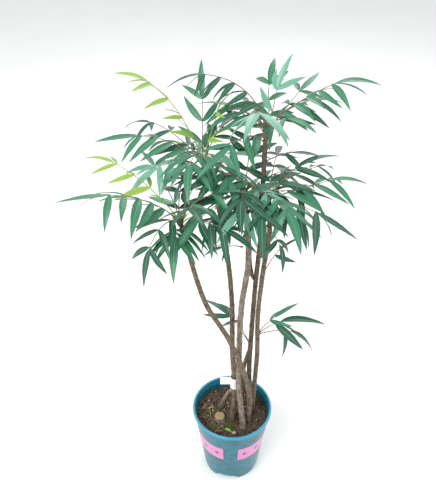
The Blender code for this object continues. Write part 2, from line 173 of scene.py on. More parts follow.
def rough_up(
    tree: Tree, place: Socket, texture: tuple[float, float, float], bump: tuple[float, float]
) -> Socket:
    """Adds noise and lets it raise the surface.

    Args:
        tree: the material's node tree.
        place: where the noise is read.
        texture: the noise's scale per metre, its detail and its roughness.
        bump: the bump's strength, and its height in metres.

    Returns:
        The noise's socket.
    """
    scale, detail, roughness = texture
    grain = add_node(
        tree,
        "ShaderNodeTexNoise",
        {"Scale": scale, "Detail": detail, "Roughness": roughness},
        {"Vector": place},
    )
    strength, height = bump
    relief = add_node(
        tree,
        "ShaderNodeBump",
        {"Strength": strength, "Distance": height},
        {"Height": grain.outputs[0]},
    )
    tree.links.new(relief.outputs[0], tree.nodes["Principled BSDF"].inputs["Normal"])
    return grain.outputs[0]


def painted_over(tree: Tree, ground: Socket, paint: str, where: Socket) -> Socket:
    """Paints a plain colour over another.

    Args:
        tree: the node tree.
        ground: the colour beneath.
        paint: hex colour of the paint.
        where: one where it is painted, nought elsewhere.

    Returns:
        The colour's socket.
    """
    # A colour Mix node has its factor on socket 0 and its two colours on 6 and 7
    mix = add_node(tree, "ShaderNodeMix", {"data_type": "RGBA", 7: linear(paint)}, {0: where, 6: ground})
    return mix.outputs[2]


@dataclass(frozen=True)
class Finish:
    """What every finish shares: a name, a shine and a bump."""

    name: str
    roughness: float
    ior: float

    def begin(self) -> tuple[Material, Tree, bpy.types.Node]:
        """Starts the material and sets its plain values.

        Returns:
            The material, its tree and its Principled node.
        """
        made = bpy.data.materials.new(self.name)
        made.use_nodes = True
        tree = made.node_tree
        shader = tree.nodes["Principled BSDF"]
        shader.inputs["Roughness"].default_value = self.roughness
        shader.inputs["IOR"].default_value = self.ior
        return made, tree, shader


@dataclass(frozen=True)
class MouldedPolypropylene(Finish):
    """Thin teal polypropylene, injection moulded: satin, faintly streaked, with a printed pink band, and a
    painted highlight that colours the lip lighter than the body.

    Heights are in metres above the foot, and bearings and widths round the pot in degrees.
    """

    shade: str = "0f5360"
    light: str = "1c7788"
    # The rim colour is a painted highlight: the lip is the same plastic, painted lighter where its top
    # faces the light.
    rim: str = "2f8fae"
    pink: str = "d983b8"
    rim_highlight_low: float = 0.2040
    band_low: float = 0.098
    band_high: float = 0.150
    gap_bearing: float = -93.0
    gap_half: float = 12.4
    lozenge_pitch: float = 24.0
    lozenge_half_width: float = 4.6
    lozenge_half_height: float = 0.0080

    def ink(self, tree: Tree, place: bpy.types.Node) -> Socket:
        """Finds where the pink is printed: two bands with a gap fore and aft, less a row of lozenges.

        Args:
            tree: the material's node tree.
            place: its split object coordinates.

        Returns:
            A socket that is one on the ink and nought off it.
        """
        x, y, z = place.outputs
        bearing = reckon(tree, "DEGREES", reckon(tree, "ARCTAN2", y, x))
        from_gap = reckon(tree, "SUBTRACT", bearing, self.gap_bearing)
        beyond = reckon(tree, "GREATER_THAN", reckon(tree, "PINGPONG", from_gap, 90.0), self.gap_half)
        above = reckon(tree, "GREATER_THAN", z, self.band_low)
        below = reckon(tree, "LESS_THAN", z, self.band_high)
        band = reckon(tree, "MULTIPLY", reckon(tree, "MULTIPLY", above, below), beyond)
        step = reckon(tree, "PINGPONG", from_gap, self.lozenge_pitch / 2)
        across = reckon(tree, "DIVIDE", step, self.lozenge_half_width)
        middle = (self.band_low + self.band_high) / 2
        offset = reckon(tree, "ABSOLUTE", reckon(tree, "SUBTRACT", z, middle))
        upright = reckon(tree, "DIVIDE", offset, self.lozenge_half_height)
        clear = reckon(tree, "GREATER_THAN", reckon(tree, "ADD", across, upright), 1.0)
        return reckon(tree, "MULTIPLY", band, clear)

    def dress(self) -> Material:
        """Makes the pot's plastic, its band set by height and bearing round the pot, with a painted
        highlight on the lip above a set height.
        """
        made, tree, shader = self.begin()
        place = add_node(tree, "ShaderNodeTexCoord")
        apart = add_node(tree, "ShaderNodeSeparateXYZ", links={0: place.outputs["Object"]})
        ink = self.ink(tree, apart)
        # Streaks about 17 mm across, up to 0.6 mm high
        streaks = rough_up(tree, place.outputs["Object"], (60.0, 5.0, 0.6), (0.12, 0.0006))
        shade = two_tone(tree, streaks, self.shade, self.light, 0.3, 0.7)
        # Painted highlight: the plastic above this height takes the lighter rim colour.
        rim_highlight_mask = reckon(tree, "GREATER_THAN", apart.outputs[2], self.rim_highlight_low)
        with_painted_rim_highlight = painted_over(tree, shade, self.rim, rim_highlight_mask)
        tree.links.new(painted_over(tree, with_painted_rim_highlight, self.pink, ink), shader.inputs["Base Color"])
        return made


@dataclass(frozen=True)
class Mottled(Finish):
    """A surface of two colours broken up by noise of a real size, with a relief to match."""

    low: str
    high: str
    size_mm: float
    relief_mm: float
    stretch: tuple[float, float, float] = (1.0, 1.0, 1.0)
    specular: float = 0.5

    def dress(self) -> Material:
        """Makes the two-tone material."""
        made, tree, shader = self.begin()
        shader.inputs["Specular IOR Level"].default_value = self.specular
        place = add_node(tree, "ShaderNodeTexCoord")
        sized = add_node(
            tree,
            "ShaderNodeMapping",
            {"Scale": self.stretch},
            {"Vector": place.outputs["Object"]},
        )
        texture = (1000.0 / self.size_mm, 6.0, 0.62)
        grain = rough_up(tree, sized.outputs[0], texture, (0.6, self.relief_mm / 1000.0))
        mottle = two_tone(tree, grain, self.low, self.high, 0.32, 0.68)
        tree.links.new(mottle, shader.inputs["Base Color"])
        return made


@dataclass(frozen=True)
class LeafCuticle(Finish):
    """A leathery evergreen leaflet: a plain colour for its age, a waxy gloss and a faint unevenness."""

    colour: str
    coat: float

    def dress(self) -> Material:
        """Makes one leaf colour."""
        made, tree, shader = self.begin()
        shader.inputs["Base Color"].default_value = linear(self.colour)
        shader.inputs["Coat Weight"].default_value = self.coat
        shader.inputs["Coat Roughness"].default_value = 0.25
        place = add_node(tree, "ShaderNodeTexCoord")
        # Bumps about 3 mm apart, up to 0.4 mm high
        rough_up(tree, place.outputs["Object"], (330.0, 3.0, 0.5), (0.25, 0.0004))
        return made


# Name, roughness, refractive index, colour and coat, in the order of the material slots
LEAF_FINISHES = (
    LeafCuticle("leaf_cuticle_old", 0.42, 1.45, "21553f", 0.25),
    LeafCuticle("leaf_cuticle_mature", 0.42, 1.45, "347656", 0.25),
    LeafCuticle("leaf_cuticle_pale", 0.38, 1.45, "6ba38b", 0.30),
    LeafCuticle("leaf_cuticle_young", 0.45, 1.42, "8fb04a", 0.10),
    LeafCuticle("leaf_underside", 0.60, 1.40, "56906c", 0.0),
    LeafCuticle("leaf_midrib", 0.50, 1.42, "5f946f", 0.0),
    LeafCuticle("leaf_underside_young", 0.55, 1.40, "a9c465", 0.0),
)
# Name, roughness, refractive index, two colours, then the grain and the relief in millimetres
STALK_FINISH = Mottled("leafstalk_skin", 0.5, 1.42, "6d5a3f", "9c7d6a", 6.0, 0.1)
YOUNG_STALK_FINISH = Mottled("young_leafstalk_skin", 0.5, 1.42, "7f9a3c", "a9bb58", 6.0, 0.1)
BARK_FINISH = Mottled("corky_bark", 0.85, 1.45, "352a21", "86745f", 5.0, 1.2, (1.0, 1.0, 0.28))
PALE_BARK_FINISH = Mottled("weathered_bark", 0.88, 1.45, "4f4439", "a3978a", 5.0, 1.2, (1.0, 1.0, 0.28))
SCAR_FINISH = Mottled("leaf_scar_cork", 0.9, 1.45, "5b4d3f", "8f7f6e", 2.5, 0.6)
SOIL_FINISH = Mottled("potting_compost", 0.97, 1.4, "251c16", "7b6856", 7.0, 2.5, specular=0.2)


@dataclass
class MeshKit:
    """Gathers points, faces and face materials for one joined piece."""

    points: list[np.ndarray] = field(default_factory=list)
    faces: list[np.ndarray] = field(default_factory=list)
    slots: list[np.ndarray] = field(default_factory=list)
    count: int = 0

    def add(self, points: np.ndarray, faces: np.ndarray, slots: np.ndarray) -> None:
        """Adds a patch of mesh.

        Args:
            points: n by 3.
            faces: m by 4, corners counted from zero.
            slots: m material slots.
        """
        self.points.append(points)
        self.faces.append(faces + self.count)
        self.slots.append(slots)
        self.count += len(points)

    def piece(self, name: str, finishes: list[Material]) -> bpy.types.Object:
        """Joins what was gathered into one smooth-shaded object.

        Args:
            name: the object's name.
            finishes: its materials, in slot order.

        Returns:
            The object, linked to the scene.
        """
        mesh = bpy.data.meshes.new(name)
        points = np.concatenate(self.points)
        faces = np.concatenate(self.faces)
        mesh.from_pydata(points.tolist(), [], faces.tolist())
        for finish in finishes:
            mesh.materials.append(finish)
        mesh.polygons.foreach_set("material_index", np.concatenate(self.slots).astype(np.int32))
        mesh.polygons.foreach_set("use_smooth", np.full(len(faces), True))
        mesh.update()
        made = bpy.data.objects.new(name, mesh)
        bpy.context.scene.collection.objects.link(made)
        return made


def grid_faces(rows: int, lanes: int) -> np.ndarray:
    """The quads of a grid of points.

    Args:
        rows: rows of points.
        lanes: points in a row.

    Returns:
        Quads, as corner numbers.
    """
    start = (np.arange(rows - 1)[:, None] * lanes + np.arange(lanes - 1)[None, :]).reshape(-1)
    return np.stack([start, start + 1, start + lanes + 1, start + lanes], axis=1)


def ring_faces(rows: int, sides: int) -> np.ndarray:
    """The quads between closed rings of points.

    Args:
        rows: how many rings, the lowest first.
        sides: points in a ring, anticlockwise from above.

    Returns:
        Quads that face outwards, as corner numbers.
    """
    start = np.arange(rows - 1)[:, None] * sides
    here = start + np.arange(sides)[None, :]
    after = start + (np.arange(sides)[None, :] + 1) % sides
    return np.stack([here, after, after + sides, here + sides], axis=2).reshape(-1, 4)


def round_noise(
    angle: np.ndarray, height: float, around: float, along: float, shift: float = 0.0
) -> np.ndarray:
    """Noise on a round surface, without a seam.

    Args:
        angle: bearings round the axis, in radians.
        height: the height on the axis.
        around: how fine the noise is round the axis.
        along: how fine it is along the axis, per metre.
        shift: an offset that tells two layers apart.

    Returns:
        A value for each bearing.
    """
    return np.array(
        [
            noise.noise(Vector((math.cos(a) * around, math.sin(a) * around, height * along + shift)))
            for a in angle
        ]
    )


def running_sum(slopes: np.ndarray, length: float) -> np.ndarray:
    """The running integral of evenly spaced slopes.

    Args:
        slopes: the slope at each point.
        length: the distance from the first point to the last.

    Returns:
        The sum up to each point, from nought.
    """
    steps = (slopes[:-1] + slopes[1:]) / 2
    return np.concatenate([[0], np.cumsum(steps)]) * length / (len(slopes) - 1)


def tube(kit: MeshKit, path: np.ndarray, radii: np.ndarray, sides: int, slot: int) -> None:
    """Adds a round tapering stalk along a path.

    Args:
        kit: where it goes.
        path: its middle line.
        radii: its radius at each point.
        sides: how many sides it has.
        slot: its material slot.
    """
    along = np.gradient(path, axis=0)
    along /= np.linalg.norm(along, axis=1, keepdims=True) + TINY
    guide = np.array([0.0, 0.0, 1.0]) if abs(along[0, 2]) < 0.9 else np.array([1.0, 0.0, 0.0])
    aside = np.cross(along, guide)
    aside /= np.linalg.norm(aside, axis=1, keepdims=True) + TINY
    over = np.cross(aside, along)
    angle = np.linspace(0, 2 * np.pi, sides, endpoint=False)[None, :, None]
    ring = np.cos(angle) * aside[:, None, :] + np.sin(angle) * over[:, None, :]
    points = (path[:, None, :] + ring * radii[:, None, None]).reshape(-1, 3)
    faces = ring_faces(len(path), sides)
    kit.add(points, faces, np.full(len(faces), slot))


@dataclass(frozen=True)
class LeafletForm:
    """The shape that every leaflet shares: lance-shaped, toothed, folded at its midrib.

    Widths and tooth depth are shares of the length, so a leaflet of 80 mm is about 15 mm wide.
    """

    rows: int = 15
    width_share: float = 0.190
    teeth: int = 7
    tooth: float = 0.09
    fold: float = 0.22
    thickness: float = 0.00035
    lanes: tuple[float, ...] = (-1.0, -0.55, -0.07, 0.07, 0.55, 1.0)
    midrib_lane: int = 2

    def outline(self) -> tuple[np.ndarray, np.ndarray]:
        """Draws the blade's edge, broadest in its lower half.

        Returns:
            The rows along the blade, and the half width at each, as shares of its length.
        """
        s = np.linspace(0, 1, self.rows)
        half = self.width_share / 2 * np.sin(np.pi * s**0.72) ** 0.85 * 1.02
        saw = 1 - self.tooth * ((s * self.teeth) % 1.0)
        return s, np.maximum(half * saw, 0.004)


@dataclass(frozen=True)
class PinnateLeaf:
    """One pinnate leaf: where its stalk points, how it climbs and arches, and its leaflets.

    Angles are in degrees. The drop is how far below the hub the stalk starts.
    """

    bearing: float
    length: float
    start: float
    end: float
    pairs: int
    leaflet: float
    tone: Tone
    hang: float = 18.0
    drop: float = 0.0


def bend_path(
    origin: Vector, bearing: float, length: float, start: float, end: float, steps: int
) -> np.ndarray:
    """A limb whose climb changes evenly from start to end.

    Args:
        origin: where it begins.
        bearing: its direction in plan, in degrees.
        length: its length.
        start: its climb at the origin, in degrees.
        end: its climb at the tip, in degrees.
        steps: how many straight steps.

    Returns:
        The points along it.
    """
    climb = np.radians(start + (end - start) * (np.arange(steps) + 0.5) / steps)
    reach = np.concatenate([[0], np.cumsum(np.cos(climb))]) * length / steps
    rise = np.concatenate([[0], np.cumsum(np.sin(climb))]) * length / steps
    turn = math.radians(bearing)
    return np.array(origin) + np.stack([reach * math.cos(turn), reach * math.sin(turn), rise], axis=1)


def upper_side(ahead: np.ndarray, aside: np.ndarray) -> np.ndarray:
    """The way across both directions that looks up."""
    over = np.cross(ahead, aside)
    return over if over[2] > 0 else -over


def widest_gap(bearings: list[float]) -> float:
    """The bearing in the middle of the widest gap between those given, in degrees."""
    order = sorted(bearing % 360 for bearing in bearings)
    gaps = [(after - before, before) for before, after in zip(order, order[1:] + [order[0] + 360])]
    width, begin = max(gaps)
    return begin + width / 2


@dataclass
class Foliage:
    """The leaves of one rosette or spray, grown from a hub by a seeded rule."""

    name: str
    nodes: tuple[str, ...]
    hub: tuple[float, float, float]
    rows: tuple[tuple[float | Tone, ...], ...]
    seed: int
    fillers: int = 0
    filler_length: float = 0.12
    limits: tuple[tuple[float, float], tuple[float, float]] = ((-0.305, 0.255), (-0.168, 0.174))
    stalk_steps: int = 14
    stalk_sides: int = 6
    spread: float = 52.0
    bud_scales: int = 10
    form: LeafletForm = field(default_factory=LeafletForm)
    blades: MeshKit = field(default_factory=MeshKit)
    stalks: MeshKit = field(default_factory=MeshKit)

    def leaflet(
        self,
        root: np.ndarray,
        ahead: np.ndarray,
        face: np.ndarray,
        size: float,
        tone: Tone,
        rng: random.Random,
    ) -> None:
        """Adds one leaflet: its upper skin with the midrib, and its paler underside.

        Args:
            root: where it leaves the stalk.
            ahead: the way it points.
            face: roughly the way its upper side faces.
            size: its length.
            tone: its colour.
            rng: the seeded source of its unevenness.
        """
        ahead = ahead / (np.linalg.norm(ahead) + TINY)
        side = np.cross(ahead, face)
        side /= np.linalg.norm(side) + TINY
        over = np.cross(side, ahead)
        s, half = self.form.outline()
        arch = math.radians(rng.uniform(18, 46))
        sway = rng.uniform(-0.16, 0.16)
        twist = math.radians(rng.uniform(-22, 22))
        # The blade leaves the stalk level with it and arches down towards its tip
        turn = -arch * s
        run = running_sum(np.cos(turn), size)
        fall = running_sum(np.sin(turn), size)
        middle = root + run[:, None] * ahead + fall[:, None] * over + (sway * size * s**2)[:, None] * side
        roll = twist * s
        across = np.cos(roll)[:, None] * side + np.sin(roll)[:, None] * over
        lift = -np.sin(roll)[:, None] * side + np.cos(roll)[:, None] * over
        lanes = np.array(self.form.lanes)
        fold = self.form.fold * rng.uniform(0.4, 1.6)
        width = half * size
        points = (
            middle[:, None, :]
            + (width[:, None] * lanes[None, :])[:, :, None] * across[:, None, :]
            + (width[:, None] * np.abs(lanes)[None, :] * fold)[:, :, None] * lift[:, None, :]
        )
        faces = grid_faces(len(s), len(lanes))
        slots = np.full(len(faces), tone.value)
        slots[np.arange(len(faces)) % (len(lanes) - 1) == self.form.midrib_lane] = Side.MIDRIB.value
        self.blades.add(points.reshape(-1, 3), faces, slots)
        under = points - self.form.thickness * lift[:, None, :]
        below = Side.UNDER_YOUNG if tone is Tone.YOUNG else Side.UNDER
        self.blades.add(under.reshape(-1, 3), faces[:, ::-1], np.full(len(faces), below.value))

    def fitted_length(self, leaf: PinnateLeaf, origin: Vector) -> float:
        """Shortens a leaf's stalk until the leaf's tip lies within the limits.

        Args:
            leaf: the leaf's form.
            origin: where its stalk begins.

        Returns:
            The length of its stalk.
        """
        length = leaf.length
        (x_low, x_high), (y_low, y_high) = self.limits
        for _ in range(12):
            whole = length + leaf.leaflet * 0.8
            path = bend_path(origin, leaf.bearing, whole, leaf.start, leaf.end - 15, self.stalk_steps)
            if x_low < path[-1, 0] < x_high and y_low < path[-1, 1] < y_high:
                break
            length *= 0.92
        return length

    def compound(self, leaf: PinnateLeaf, rng: random.Random) -> None:
        """Adds one compound leaf: its stalk, its pairs of leaflets and the one at its tip.

        Args:
            leaf: the leaf's form.
            rng: the seeded source of its unevenness.
        """
        origin = Vector(self.hub) - Vector((0, 0, leaf.drop))
        steps = self.stalk_steps
        length = self.fitted_length(leaf, origin)
        path = bend_path(origin, leaf.bearing, length, leaf.start, leaf.end, steps)
        waves = np.sin(np.linspace(0, math.pi * rng.uniform(1, 2), steps + 1))
        wobble = waves * length * rng.uniform(-0.03, 0.03)
        turn = math.radians(leaf.bearing)
        aside = np.array([-math.sin(turn), math.cos(turn), 0.0])
        path = path + wobble[:, None] * aside
        # The stalk is thick where it clasps the stem, then tapers to its tip
        shares = np.linspace(0, 1, steps + 1)
        radii = np.interp(shares, [0, 0.06, 0.15, 1], [0.0030, 0.0022, 0.0012, 0.0007])
        slot = 1 if leaf.tone is Tone.YOUNG else 0
        tube(self.stalks, path, radii, self.stalk_sides, slot)
        along = np.gradient(path, axis=0)
        along /= np.linalg.norm(along, axis=1, keepdims=True)
        first = 0.30 if leaf.pairs > 2 else 0.45
        for pair in range(leaf.pairs):
            share = first + (0.97 - first) * pair / (leaf.pairs - 1) if leaf.pairs > 1 else 0.8
            at = share * steps
            row = min(int(at), steps - 1)
            root = path[row] + (path[row + 1] - path[row]) * (at - row)
            ahead = along[row]
            over = upper_side(ahead, aside)
            size = leaf.leaflet * rng.uniform(0.86, 1.08)
            size *= 0.80 + 0.20 * math.sin(math.pi * (0.25 + 0.6 * share))
            for hand in (-1, 1):
                # One leaflet in twenty has fallen
                if rng.random() < 0.05:
                    continue
                spread = math.radians(self.spread + rng.uniform(-9, 9))
                hang = math.radians(leaf.hang + rng.uniform(-12, 12))
                out = math.cos(spread) * ahead + math.sin(spread) * hand * aside
                out = math.cos(hang) * out - math.sin(hang) * over
                grown = size * rng.uniform(0.92, 1.06)
                self.leaflet(root + 0.0015 * over, out, over, grown, leaf.tone, rng)
            node = np.stack([root - ahead * 0.0016, root, root + ahead * 0.0016])
            tube(self.stalks, node, np.array([0.0008, 0.0014, 0.0008]), self.stalk_sides, slot)
        over = upper_side(along[-1], aside)
        out = along[-1] - 0.25 * over * math.sin(math.radians(leaf.hang))
        self.leaflet(path[-1], out, over, leaf.leaflet * rng.uniform(0.98, 1.12), leaf.tone, rng)

    def bud(self, rng: random.Random) -> None:
        """Adds the narrow bud scales and leaf bases crowded round the hub.

        Args:
            rng: the seeded source of their unevenness.
        """
        for number in range(self.bud_scales):
            turn = math.radians(137.5 * number)
            ahead = np.array([math.cos(turn) * 0.45, math.sin(turn) * 0.45, 1.0])
            root = np.array(self.hub) + np.array([math.cos(turn), math.sin(turn), 0.0]) * 0.004
            root[2] -= 0.010 * rng.random()
            face = np.array([-math.cos(turn), -math.sin(turn), 0.4])
            tone = Tone.YOUNG if number % 4 == 0 else Tone.MID
            self.leaflet(root, ahead, face, rng.uniform(0.018, 0.030), tone, rng)

    def filler(self, bearing: float, rng: random.Random) -> PinnateLeaf:
        """Draws an older leaf that the photograph doesn't single out.

        Args:
            bearing: where it points.
            rng: the seeded source of its form.

        Returns:
            The leaf's form.
        """
        start = rng.uniform(40, 62)
        tone = rng.choice([Tone.DARK, Tone.DARK, Tone.MID, Tone.MID, Tone.AQUA])
        return PinnateLeaf(
            bearing,
            self.filler_length * rng.uniform(0.8, 1.1),
            start,
            start - rng.uniform(45, 75),
            rng.choice([3, 3, 4]),
            0.080,
            tone,
            drop=rng.uniform(0.0, 0.03),
        )

    def build(self, leaf_finishes: list[Material], stalk_finishes: list[Material]) -> None:
        """Grows the leaves that the photograph shows, and fills the bearings between them.

        Args:
            leaf_finishes: materials of the leaflets, in slot order.
            stalk_finishes: materials of the stalks, in slot order.
        """
        rng = random.Random(self.seed)
        taken = []
        for row in self.rows:
            leaf = PinnateLeaf(*row)
            self.compound(leaf, rng)
            taken.append(leaf.bearing)
        for _ in range(self.fillers):
            taken.append(widest_gap(taken))
            self.compound(self.filler(taken[-1], rng), rng)
        if self.fillers:
            self.bud(rng)
        blades = self.blades.piece(f"leaves_{self.name}", leaf_finishes)
        stalks = self.stalks.piece(f"leafstalks_{self.name}", stalk_finishes)
        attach(blades, "root")
        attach(stalks, "root")
        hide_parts(*self.nodes)
        LOG.info("%s: %d leaflet faces", self.name, len(blades.data.polygons))


@dataclass(frozen=True)
class StemForm:
    """One stem's route and its radii, as in the frame."""

    name: str
    nodes: tuple[str, ...]
    route: tuple[tuple[float, float, float], ...]
    foot_radius: float
    tip_radius: float
    pale: bool = False
    flares: bool = True


STEM_FORMS = (
    StemForm(
        "stem_left",
        ("stem_left_lower", "stem_left_upper"),
        (
            (0.040, -0.026, SOIL_TOP - 0.004), (0.040, -0.032, 0.290), (0.018, -0.038, 0.400),
            (-0.016, -0.043, 0.500), (-0.058, -0.048, 0.592), (-0.079, -0.052, 0.670),
            (-0.097, -0.057, 0.765), (-0.107, -0.060, 0.822),
        ),
        foot_radius=0.0075, tip_radius=0.0042,
    ),
    StemForm(
        "stem_upper_left_bark",
        ("stem_upper_left",),
        (
            (0.000, -0.019, SOIL_TOP - 0.004), (0.005, -0.008, 0.290), (-0.002, 0.007, 0.410),
            (-0.005, 0.022, 0.550), (-0.019, 0.038, 0.690), (-0.044, 0.052, 0.820),
            (-0.065, 0.060, 0.886),
        ),
        foot_radius=0.0070, tip_radius=0.0042,
    ),
    StemForm(
        "stem_centre_bark",
        ("stem_centre",),
        (
            (0.028, -0.044, SOIL_TOP - 0.004), (0.015, -0.031, 0.310), (0.013, -0.019, 0.440),
            (0.016, -0.007, 0.560), (0.028, 0.004, 0.680), (0.015, 0.020, 0.840),
        ),
        foot_radius=0.0070, tip_radius=0.0060, pale=True,
    ),
    StemForm(
        "stem_tall_bark",
        ("stem_tall",),
        (
            (0.047, 0.030, SOIL_TOP - 0.004), (0.041, 0.026, 0.330), (0.043, 0.027, 0.450),
            (0.047, 0.032, 0.580), (0.054, 0.039, 0.720), (0.054, 0.046, 0.860),
            (0.055, 0.050, 0.960),
        ),
        foot_radius=0.0062, tip_radius=0.0045,
    ),
    StemForm(
        "stem_tall_leg_bark",
        ("stem_tall_leg",),
        (
            (0.022, 0.014, SOIL_TOP - 0.004), (0.023, 0.018, 0.260), (0.030, 0.023, 0.345),
            (0.039, 0.026, 0.385),
        ),
        foot_radius=0.0052, tip_radius=0.0040,
    ),
    StemForm(
        "stem_tall_fork_bark",
        ("stem_tall_fork",),
        (
            (0.0450, 0.033, 0.600), (0.0386, 0.034, 0.614), (0.0330, 0.036, 0.650),
            (0.0300, 0.037, 0.695),
        ),
        foot_radius=0.0042, tip_radius=0.0045, flares=False,
    ),
    StemForm(
        "stem_right_bark",
        ("stem_right",),
        (
            (0.052, 0.009, SOIL_TOP - 0.004), (0.055, 0.007, 0.300), (0.057, 0.006, 0.400),
            (0.054, 0.005, 0.520), (0.060, 0.003, 0.650), (0.068, 0.001, 0.750),
            (0.062, 0.000, 0.840),
        ),
        foot_radius=0.0055, tip_radius=0.0048,
    ),
    StemForm(
        "stem_short_leg_bark",
        ("stem_short_leg",),
        (
            (-0.029, 0.024, SOIL_TOP - 0.004), (-0.020, 0.010, 0.225), (-0.007, -0.004, 0.272),
            (0.001, -0.008, 0.285),
        ),
        foot_radius=0.0060, tip_radius=0.0045, pale=True,
    ),
)


def smooth_route(route: tuple, heights: np.ndarray) -> np.ndarray:
    """The middle line of a stem on a smooth curve through its route.

    Args:
        route: points from foot to tip.
        heights: the heights wanted.

    Returns:
        A point for each height.
    """
    knots = np.array(route)
    z = knots[:, 2]
    before = np.concatenate([[0], np.arange(len(z) - 1)])
    after = np.concatenate([np.arange(1, len(z)), [len(z) - 1]])
    slope = (knots[after, :2] - knots[before, :2]) / (z[after] - z[before])[:, None]
    span = np.clip(np.searchsorted(z, heights, side="right") - 1, 0, len(z) - 2)
    rise = (z[span + 1] - z[span])[:, None]
    s = ((heights - z[span]) / (z[span + 1] - z[span]))[:, None]
    place = (
        (2 * s**3 - 3 * s**2 + 1) * knots[span, :2]
        + (s**3 - 2 * s**2 + s) * rise * slope[span]
        + (3 * s**2 - 2 * s**3) * knots[span + 1, :2]
        + (s**3 - s**2) * rise * slope[span + 1]
    )
    return np.concatenate([place, heights[:, None]], axis=1)


@dataclass
class BarkStem:
    """A bare stem in relief: fissures along it, and pale raised rings where old leaves fell."""

    form: StemForm
    step: float = 0.0016
    sides: int = 20
    flare: float = 0.35
    flare_height: float = 0.022
    ring_pitch: float = 0.020
    ring_half: float = 0.0016
    ring_tilt: float = 0.0012
    ring_relief: float = 0.00045

    def radii(self, heights: np.ndarray) -> np.ndarray:
        """The stem's radius at each height, swollen at its foot if it stands in the compost."""
        low = self.form.route[0][2]
        share = (heights - low) / (self.form.route[-1][2] - low)
        radius = self.form.foot_radius + (self.form.tip_radius - self.form.foot_radius) * share
        if self.form.flares:
            radius = radius * (1 + self.flare * np.exp(-(heights - low) / self.flare_height))
        return radius

    def rings(self) -> list[float]:
        """The heights of the leaf scars, closer together near the tip."""
        rng = random.Random(self.form.name)
        high = self.form.route[-1][2]
        marks = []
        at = self.form.route[0][2] + 0.02
        while at < high - 0.004:
            marks.append(at)
            at += self.ring_pitch * rng.uniform(0.6, 1.5) * (0.75 if at > high - 0.12 else 1.0)
        return marks

    def build(self, bark: Material, scar: Material) -> None:
        """Makes the stem and puts it in the place of its plain solids.

        Args:
            bark: the bark's material.
            scar: the material of the leaf scars.
        """
        heights = np.arange(self.form.route[0][2], self.form.route[-1][2], self.step)
        line = smooth_route(self.form.route, heights)
        radius = self.radii(heights)
        marks = self.rings()
        angle = np.linspace(0, 2 * np.pi, self.sides, endpoint=False)
        points = np.zeros((len(heights), self.sides, 3))
        ringed = np.zeros((len(heights), self.sides), bool)
        for row, height in enumerate(heights):
            near = min(marks, key=lambda mark: abs(mark - height))
            tilt = self.ring_tilt * np.sin(angle + near * 900)
            closeness = np.exp(-(((height - near) + tilt) / self.ring_half) ** 2)
            # Fissures of about 18 mm and 7 mm, up to 0.8 and 0.4 mm deep
            relief = round_noise(angle, height, 3.2, 55) * 0.00075
            relief = relief + round_noise(angle, height, 6.5, 150, 7) * 0.00035
            around = radius[row] + relief + closeness * self.ring_relief
            points[row, :, 0] = line[row, 0] + around * np.cos(angle)
            points[row, :, 1] = line[row, 1] + around * np.sin(angle)
            points[row, :, 2] = height
            ringed[row] = closeness > 0.55
        kit = MeshKit()
        slots = ringed[:-1].reshape(-1).astype(int)
        kit.add(points.reshape(-1, 3), ring_faces(len(heights), self.sides), slots)
        stem = kit.piece(self.form.name, [bark, scar])
        self.close_ends(stem)
        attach(stem, "root")
        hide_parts(*self.form.nodes)
        LOG.info("%s: %d rings", self.form.name, len(marks))

    def close_ends(self, stem: bpy.types.Object) -> None:
        """Puts one flat face over each open end of the stem."""
        shape = bmesh.new()
        shape.from_mesh(stem.data)
        edges = [edge for edge in shape.edges if edge.is_boundary]
        bmesh.ops.holes_fill(shape, edges=edges, sides=self.sides + 1)
        shape.to_mesh(stem.data)
        shape.free()


class Grain(Enum):
    """The kinds of lump on the compost, in slot order."""

    COMPOST = 0
    PERLITE = 1
    MOSS = 2
    PEBBLE = 3


